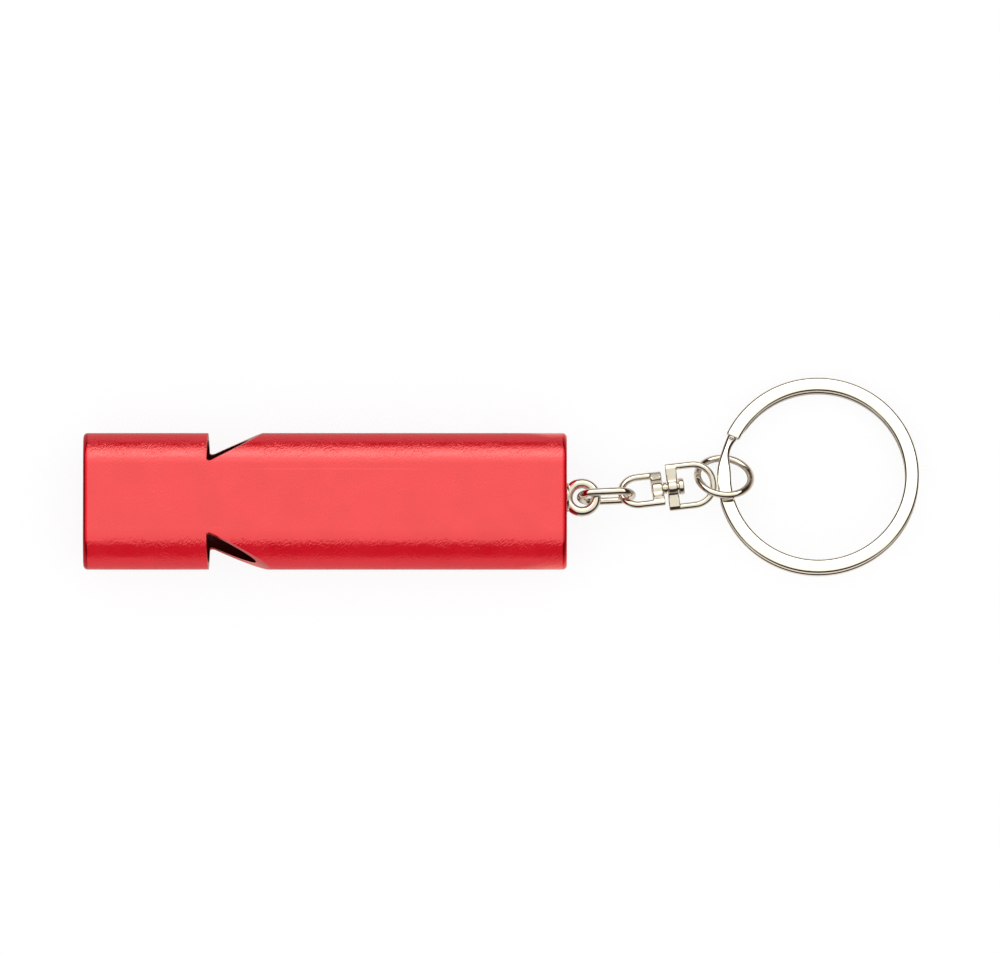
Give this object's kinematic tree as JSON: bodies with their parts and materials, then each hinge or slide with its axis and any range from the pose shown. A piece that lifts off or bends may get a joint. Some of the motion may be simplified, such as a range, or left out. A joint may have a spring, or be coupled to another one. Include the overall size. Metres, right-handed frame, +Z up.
{
  "type": "whistle keychain",
  "caption": "Flat-oval two-tube whistle with a screw eye, an oval link, a riveted swivel, a jump ring and a split key ring, lying flat.",
  "frame": {"origin": "on the table, below the middle of the keychain's box", "axes": "+X along the whistle from its mouth end to the key ring, +Z up from the table"},
  "size_m": [0.106, 0.0256, 0.009],
  "materials": {
    "red_anodised": "satin anodised",
    "nickel": "polished nickel plate",
    "steel": "polished nickel-plated steel"
  },
  "bodies": {
    "whistle": {"whistle_body": "red_anodised", "windway_plug_left": "red_anodised", "windway_plug_right": "red_anodised", "screw_eye": "nickel"},
    "link": {"chain_link": "nickel"},
    "small_loop": {"swivel_small_loop": "nickel", "swivel_rivet": "nickel"},
    "large_loop": {"swivel_large_loop": "nickel"},
    "jump_ring": {"jump_ring": "nickel"},
    "key_ring": {"split_ring": "steel"}
  },
  "joints": [
    {"name": "link_swing", "type": "hinge", "parent": "whistle", "child": "link", "pos_m": [0.01201, -0.00269, 0.0045], "axis": [0, 1, 0], "range_deg": [-80, 80]},
    {"name": "swivel_swing", "type": "hinge", "parent": "link", "child": "small_loop", "pos_m": [0.01657, -0.00257, 0.00417], "axis": [-0.0094, 0.2162, 0.9763], "range_deg": [-60, 40]},
    {"name": "swivel_spin", "type": "hinge", "parent": "small_loop", "child": "large_loop", "pos_m": [0.02103, -0.00155, 0.0036], "axis": [0.9923, 0.1201, -0.0314], "continuous": true},
    {"name": "jump_ring_swing", "type": "hinge", "parent": "large_loop", "child": "jump_ring", "pos_m": [0.02691, -0.00084, 0.00341], "axis": [-0.1129, 0.9783, 0.1736], "range_deg": [-75, 15]},
    {"name": "key_ring_turn", "type": "hinge", "parent": "jump_ring", "child": "key_ring", "pos_m": [0.04018, 0, 0.0025], "axis": [0, 0.1132, 0.9936], "continuous": true}
  ]
}
